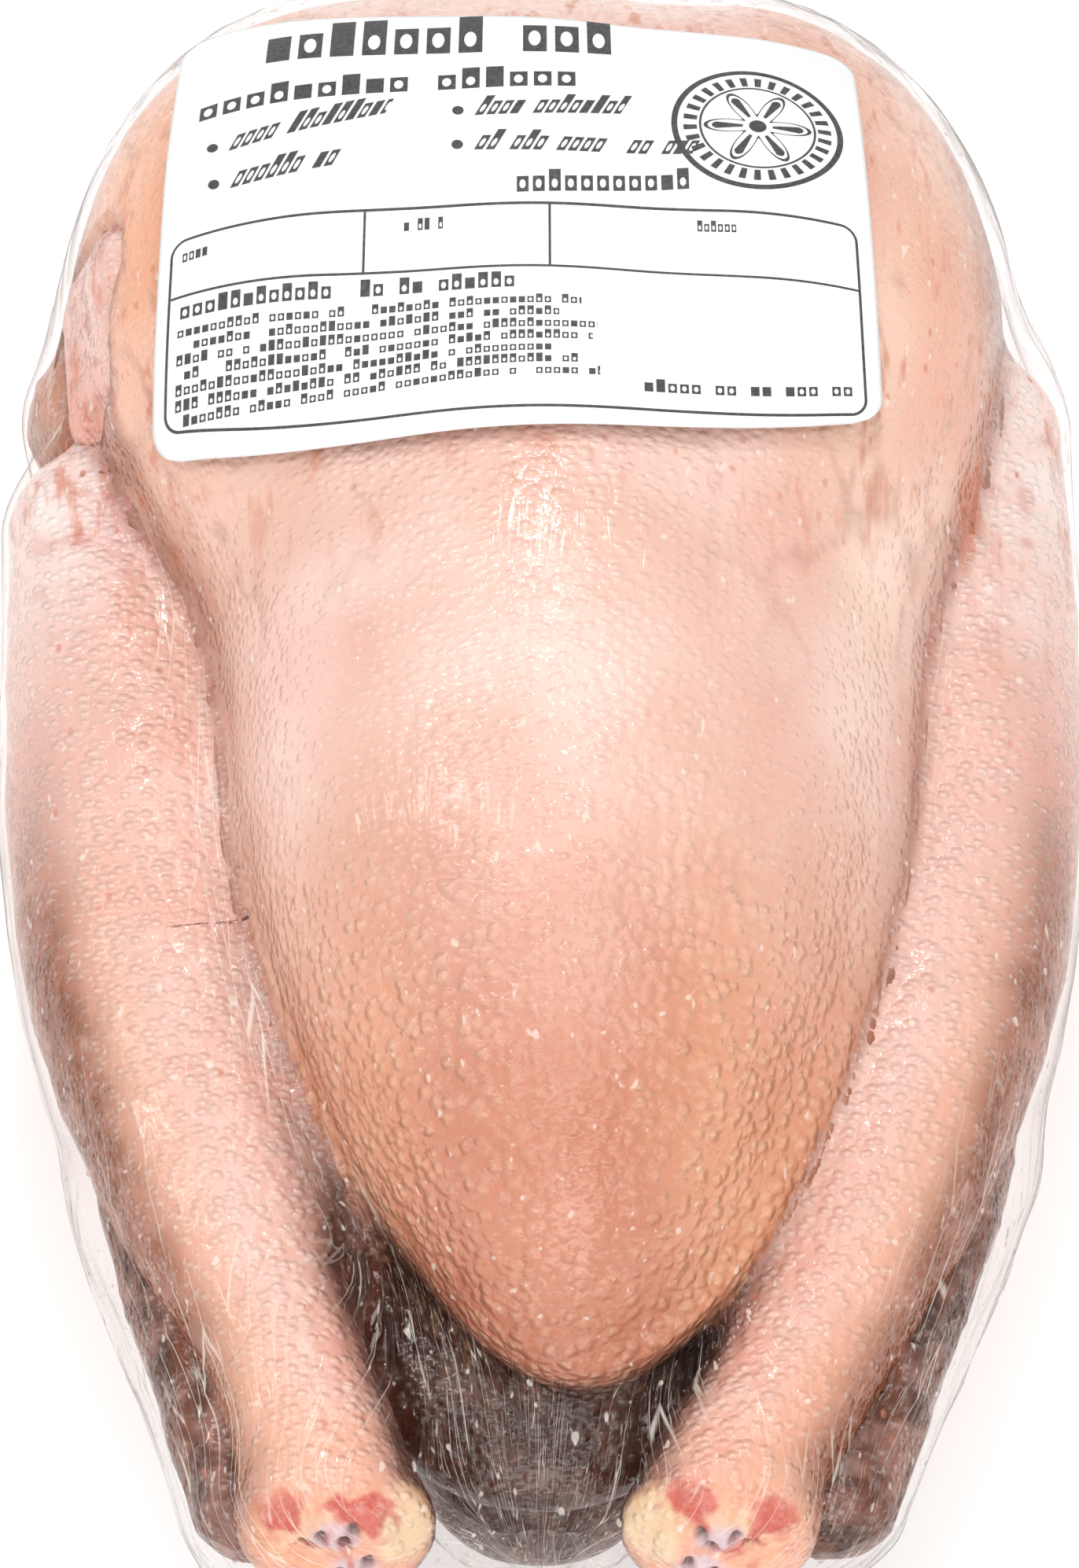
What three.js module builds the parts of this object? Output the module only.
// A whole raw chicken lying on its back, shrunk into a clear bag with a paper label on its breast.
// Units are millimetres and +Z is up. The neck end points to +Y and the leg ends to -Y.
// The bag hides no gap that can be reached, so bag and bird are one closed solid.
import * as THREE from 'three';
import { mergeVertices } from 'three/addons/utils/BufferGeometryUtils.js';

// The bird: centres and half sizes of the round masses under the skin.
const BREAST_LEFT = { centre: [-25, 72, 58.5], half: [46, 58, 49], turn: 14 };
const BREAST_RIGHT = { centre: [24, 68, 58.5], half: [46, 62, 49], turn: -10 };
const BREAST_FRONT = { centre: [-2, 76, 56.5], half: [44, 57, 50], turn: 0 };
const BREAST_KEEL = { centre: [0, 28, 60], half: [38, 92, 48.5], turn: 0 };
const BREAST_POINT = { centre: [3.5, -13, 63.5], half: [47, 81, 42], taper: 0.26 };
const BACK = { centre: [0, 20, 34], half: [58, 106, 36.5], turn: 0 };
const TAIL = { centre: [0, -92, 23.5], half: [18, 16, 13], turn: 0 };

// Each folded wing runs from shoulder to elbow to wrist to tip: place, then radius of the flesh.
const LEFT_WING = [
  [-50, 97, 57, 15],
  [-65, 68, 48, 12.5],
  [-57, 95, 36, 10.5],
  [-51, 72, 22, 7],
];
const RIGHT_WING = [
  [46, 104, 50, 14],
  [60, 74, 38, 12.5],
  [54, 99, 31, 10.5],
  [49, 76, 20, 7],
];

// Each leg runs from the knee past the drumstick to the hock, through these places in plan and height,
// with the radius of the flesh at each place as the last value.
const LEFT_LEG = [
  [-66, 44, 53.5, 14],
  [-60.5, 6, 51.5, 17.8],
  [-56.5, -30, 50.5, 17.8],
  [-47.5, -64, 53.5, 15.4],
  [-38, -88, 53.5, 14],
  [-31, -106, 53.5, 13],
];
const RIGHT_LEG = [
  [66, 61, 53.5, 13.5],
  [62.5, 16, 51.5, 17.8],
  [59, -24, 50.5, 17.8],
  [52.5, -56, 53.5, 15.6],
  [39, -88, 53.5, 13.8],
  [28.5, -106, 53.5, 12.8],
];
const LEG_SPANS = 15;
const FOLD_FILLET = 3;
const LEFT_THIGH = { from: [-53, 0, 43.5], to: [-38, -58, 41.5], radius: 22 };
const RIGHT_THIGH = { from: [54, 10, 43.5], to: [40, -58, 41.5], radius: 22 };
const LEFT_KNUCKLE = { centre: [-29, -113, 53.5], half: [14.5, 10, 13.5], turn: 0 };
const RIGHT_KNUCKLE = { centre: [26, -113, 53.5], half: [14.5, 10, 13.5], turn: 0 };

// The bag: how far the film stands off the skin, and how widely it bridges each hollow.
const FILM_STAND_OFF = 1.0;
const FILM_BRIDGES = { neck: 16, wing: 8, leg: 13, knuckle: 9, web: 12, base: 1.5 };
const FILM_WEB = { centre: [-1, -92, 50], half: [34, 24, 13], turn: 0 };
const FILM_NECK = { centre: [3, 78, 50], half: [63, 56, 44], turn: 0 };
const LEFT_FLAP = { from: [-54, -62, 47], to: [-40, -106, 47], radius: 9 };
const RIGHT_FLAP = { from: [58.5, -58, 47], to: [41, -106, 47], radius: 9 };

// Soft pleats of film run along the bag where it draws in towards the leg ends.
const PLEATS = { count: 9, height: 0.9, starts: -52, full: -104 };

// The mesh that is drawn out to the film: turns round the length, and steps along it.
const ROUND_STEPS = 92;
const LENGTH_STEPS = 54;
const SPINE = { halfLength: 78, height: 49.5 };
const REACH = 150;
const LEVEL_WITH_BASE = 0.01;

// The whole is moved by this so that the middle of its box stands on the origin.
const CENTRING = new THREE.Vector3(-0.48, -6.6, 0);

// The label is a sheet laid over the breast: its corners in plan, and how its lower edge bows.
const LABEL = {
  neckLeft: [-53.5, 109],
  neckRight: [46.5, 101],
  legLeft: [-56.5, 39.5],
  legRight: [49.5, 39],
  bow: 7.5,
  corner: 0.09,
  thickness: 0.5,
  gap: 0.35,
  acrossSteps: 22,
  alongSteps: 14,
};

const COLOURS = { baggedChicken: 0xe6b9a2, label: 0xf6f5f2 };

// Signed distance to an ellipsoid that may be turned about the vertical through its centre.
function ellipsoidDistance(point, mass) {
  const turn = THREE.MathUtils.degToRad(mass.turn ?? 0);
  const dx = point.x - mass.centre[0];
  const dy = point.y - mass.centre[1];
  const dz = point.z - mass.centre[2];
  let x = dx * Math.cos(turn) + dy * Math.sin(turn);
  const y = dy * Math.cos(turn) - dx * Math.sin(turn);
  const [a, b, c] = mass.half;
  if (mass.taper) {
    x /= 1 + mass.taper * THREE.MathUtils.clamp(y / b, -1.1, 1.1);
  }
  const scaled = Math.hypot(x / a, y / b, dz / c);
  const slope = Math.hypot(x / (a * a), y / (b * b), dz / (c * c));
  return (scaled * (scaled - 1)) / Math.max(slope, 1e-6);
}

// Signed distance to a rounded cone between two places.
function coneDistance(point, start, end, startRadius, endRadius) {
  const along = end.clone().sub(start);
  const offset = point.clone().sub(start);
  const share = THREE.MathUtils.clamp(offset.dot(along) / along.lengthSq(), 0, 1);
  const radius = THREE.MathUtils.lerp(startRadius, endRadius, share);
  return offset.addScaledVector(along, -share).length() - radius;
}

function rodDistance(point, rod) {
  return coneDistance(point, new THREE.Vector3(...rod.from), new THREE.Vector3(...rod.to), rod.radius, rod.radius);
}

// Joins two distances with a fillet of the given width.
function blend(first, second, width) {
  const share = THREE.MathUtils.clamp(0.5 + (0.5 * (second - first)) / width, 0, 1);
  return THREE.MathUtils.lerp(second, first, share) - width * share * (1 - share);
}

function breastDistance(point) {
  const halves = blend(ellipsoidDistance(point, BREAST_LEFT), ellipsoidDistance(point, BREAST_RIGHT), 16);
  const full = blend(halves, ellipsoidDistance(point, BREAST_FRONT), 10);
  const keeled = blend(full, ellipsoidDistance(point, BREAST_KEEL), 12);
  return blend(keeled, ellipsoidDistance(point, BREAST_POINT), 20);
}

function backDistance(point) {
  return blend(ellipsoidDistance(point, BACK), ellipsoidDistance(point, TAIL), 14);
}

// A smooth run of places and radii down one leg.
function smoothLeg(joints) {
  const places = new THREE.CatmullRomCurve3(joints.map(([x, y, z]) => new THREE.Vector3(x, y, z)));
  const radii = new THREE.SplineCurve(joints.map(([, , , radius], i) => new THREE.Vector2(i, radius)));
  const shares = Array.from({ length: LEG_SPANS + 1 }, (_, i) => i / LEG_SPANS);
  return shares.map((share) => ({ place: places.getPoint(share), radius: radii.getPoint(share).y }));
}

// The bent run of a wing: its own joints, unsmoothed.
function foldedWing(joints) {
  return joints.map(([x, y, z, radius]) => ({ place: new THREE.Vector3(x, y, z), radius }));
}

function limbDistance(point, limb, fillet) {
  let flesh = Infinity;
  for (let i = 1; i < limb.length; i += 1) {
    const near = limb[i - 1];
    const far = limb[i];
    const span = coneDistance(point, near.place, far.place, near.radius, far.radius);
    flesh = i === 1 || fillet === 0 ? Math.min(flesh, span) : blend(flesh, span, fillet);
  }
  return flesh;
}

function legDistance(point, leg, thigh) {
  return blend(limbDistance(point, leg, 0), rodDistance(point, thigh), 10);
}

const SIDES = [
  {
    leg: smoothLeg(LEFT_LEG),
    thigh: LEFT_THIGH,
    knuckle: LEFT_KNUCKLE,
    wing: foldedWing(LEFT_WING),
    flap: LEFT_FLAP,
  },
  {
    leg: smoothLeg(RIGHT_LEG),
    thigh: RIGHT_THIGH,
    knuckle: RIGHT_KNUCKLE,
    wing: foldedWing(RIGHT_WING),
    flap: RIGHT_FLAP,
  },
];

// Height of the pleats at a point: none over the body, full at the leg ends, none on the base.
function pleatHeight(point) {
  const share = THREE.MathUtils.smoothstep(-point.y, -PLEATS.starts, -PLEATS.full);
  const lift = THREE.MathUtils.smoothstep(point.z, 4, 20);
  const angle = Math.atan2(point.x, point.z - SPINE.height);
  return PLEATS.height * share * lift * Math.cos(PLEATS.count * angle);
}

// Signed distance to the film that is drawn over the whole bird.
function filmDistance(point) {
  let distance = blend(breastDistance(point), backDistance(point), FILM_BRIDGES.neck);
  distance = blend(distance, ellipsoidDistance(point, FILM_NECK), FILM_BRIDGES.neck);
  for (const { leg, thigh, knuckle, wing, flap } of SIDES) {
    let limb = blend(legDistance(point, leg, thigh), rodDistance(point, flap), FILM_BRIDGES.knuckle);
    limb = blend(limb, ellipsoidDistance(point, knuckle), FILM_BRIDGES.knuckle);
    distance = blend(distance, limb, FILM_BRIDGES.leg);
    distance = blend(distance, limbDistance(point, wing, FOLD_FILLET), FILM_BRIDGES.wing);
  }
  distance = blend(distance, ellipsoidDistance(point, FILM_WEB), FILM_BRIDGES.web);
  distance -= FILM_STAND_OFF + pleatHeight(point);
  return -blend(-distance, point.z, FILM_BRIDGES.base);
}

// The outermost place where a straight line from outside meets the film.
function meetFilm(origin, direction, reach) {
  const point = new THREE.Vector3();
  const distanceAt = (t) => filmDistance(point.copy(origin).addScaledVector(direction, t));
  const step = 1.5;
  let outside = reach;
  while (outside > 0 && distanceAt(outside - step) > 0) {
    outside -= step;
  }
  let inside = outside - step;
  for (let i = 0; i < 24; i += 1) {
    const middle = (inside + outside) / 2;
    if (distanceAt(middle) > 0) {
      outside = middle;
    } else {
      inside = middle;
    }
  }
  distanceAt(inside);
  return point.clone();
}

// Direction in which the film faces at a point.
function filmNormal(point) {
  const step = 0.4;
  const slope = (axis) => {
    const ahead = point.clone().addScaledVector(axis, step);
    const behind = point.clone().addScaledVector(axis, -step);
    return filmDistance(ahead) - filmDistance(behind);
  };
  const axes = [new THREE.Vector3(1, 0, 0), new THREE.Vector3(0, 1, 0), new THREE.Vector3(0, 0, 1)];
  return new THREE.Vector3(...axes.map(slope)).normalize();
}

// Closes a geometry's seams, so that each edge has exactly two faces.
function closed(geometry) {
  geometry.deleteAttribute('normal');
  geometry.deleteAttribute('uv');
  const joined = mergeVertices(geometry, 1e-4);
  joined.computeVertexNormals();
  return joined;
}

// A sphere whose vertices are drawn out from the bird's spine to the film.
function makeBag() {
  const geometry = closed(new THREE.SphereGeometry(1, ROUND_STEPS, LENGTH_STEPS));
  const places = geometry.attributes.position;
  const direction = new THREE.Vector3();
  for (let i = 0; i < places.count; i += 1) {
    direction.fromBufferAttribute(places, i).normalize();
    const origin = new THREE.Vector3(0, SPINE.halfLength * direction.y, SPINE.height);
    const place = meetFilm(origin, direction, REACH).add(CENTRING);
    places.setXYZ(i, place.x, place.y, place.z < LEVEL_WITH_BASE ? 0 : place.z);
  }
  geometry.computeVertexNormals();
  return geometry;
}

// Plan position on the label: across and along run from -1 to 1.
function labelPlan(across, along) {
  const u = (across + 1) / 2;
  const v = (along + 1) / 2;
  const mix = (left, right) => left.map((value, i) => THREE.MathUtils.lerp(value, right[i], u));
  const legSide = mix(LABEL.legLeft, LABEL.legRight);
  const neckSide = mix(LABEL.neckLeft, LABEL.neckRight);
  legSide[1] -= LABEL.bow * (1 - across * across);
  return [THREE.MathUtils.lerp(legSide[0], neckSide[0], v), THREE.MathUtils.lerp(legSide[1], neckSide[1], v)];
}

// Narrows the rows next to the short ends, so that the label's corners are round.
function roundedAcross(across, along) {
  const past = Math.max(Math.abs(along) - (1 - LABEL.corner), 0) / LABEL.corner;
  return across * (1 - LABEL.corner * (1 - Math.sqrt(Math.max(1 - past * past, 0))) * 0.8);
}

function makeLabel() {
  const geometry = closed(new THREE.BoxGeometry(2, 2, 1, LABEL.acrossSteps, LABEL.alongSteps, 1));
  const places = geometry.attributes.position;
  const down = new THREE.Vector3(0, 0, 1);
  for (let i = 0; i < places.count; i += 1) {
    const along = Math.sin((places.getY(i) * Math.PI) / 2);
    const across = roundedAcross(places.getX(i), along);
    const [x, y] = labelPlan(across, along);
    const onFilm = meetFilm(new THREE.Vector3(x, y, 0), down, REACH);
    const height = LABEL.gap + (places.getZ(i) + 0.5) * LABEL.thickness;
    onFilm.addScaledVector(filmNormal(onFilm), height).add(CENTRING);
    places.setXYZ(i, onFilm.x, onFilm.y, onFilm.z);
  }
  geometry.computeVertexNormals();
  return geometry;
}

function namedMesh(name, geometry, colour, roughness) {
  const material = new THREE.MeshStandardMaterial({ color: colour, roughness, metalness: 0 });
  const mesh = new THREE.Mesh(geometry, material);
  mesh.name = name;
  return mesh;
}

const baggedBird = new THREE.Group();
baggedBird.name = 'whole_raw_chicken';
baggedBird.add(namedMesh('bagged_chicken', makeBag(), COLOURS.baggedChicken, 0.3));
baggedBird.add(namedMesh('label', makeLabel(), COLOURS.label, 0.55));

export default baggedBird;
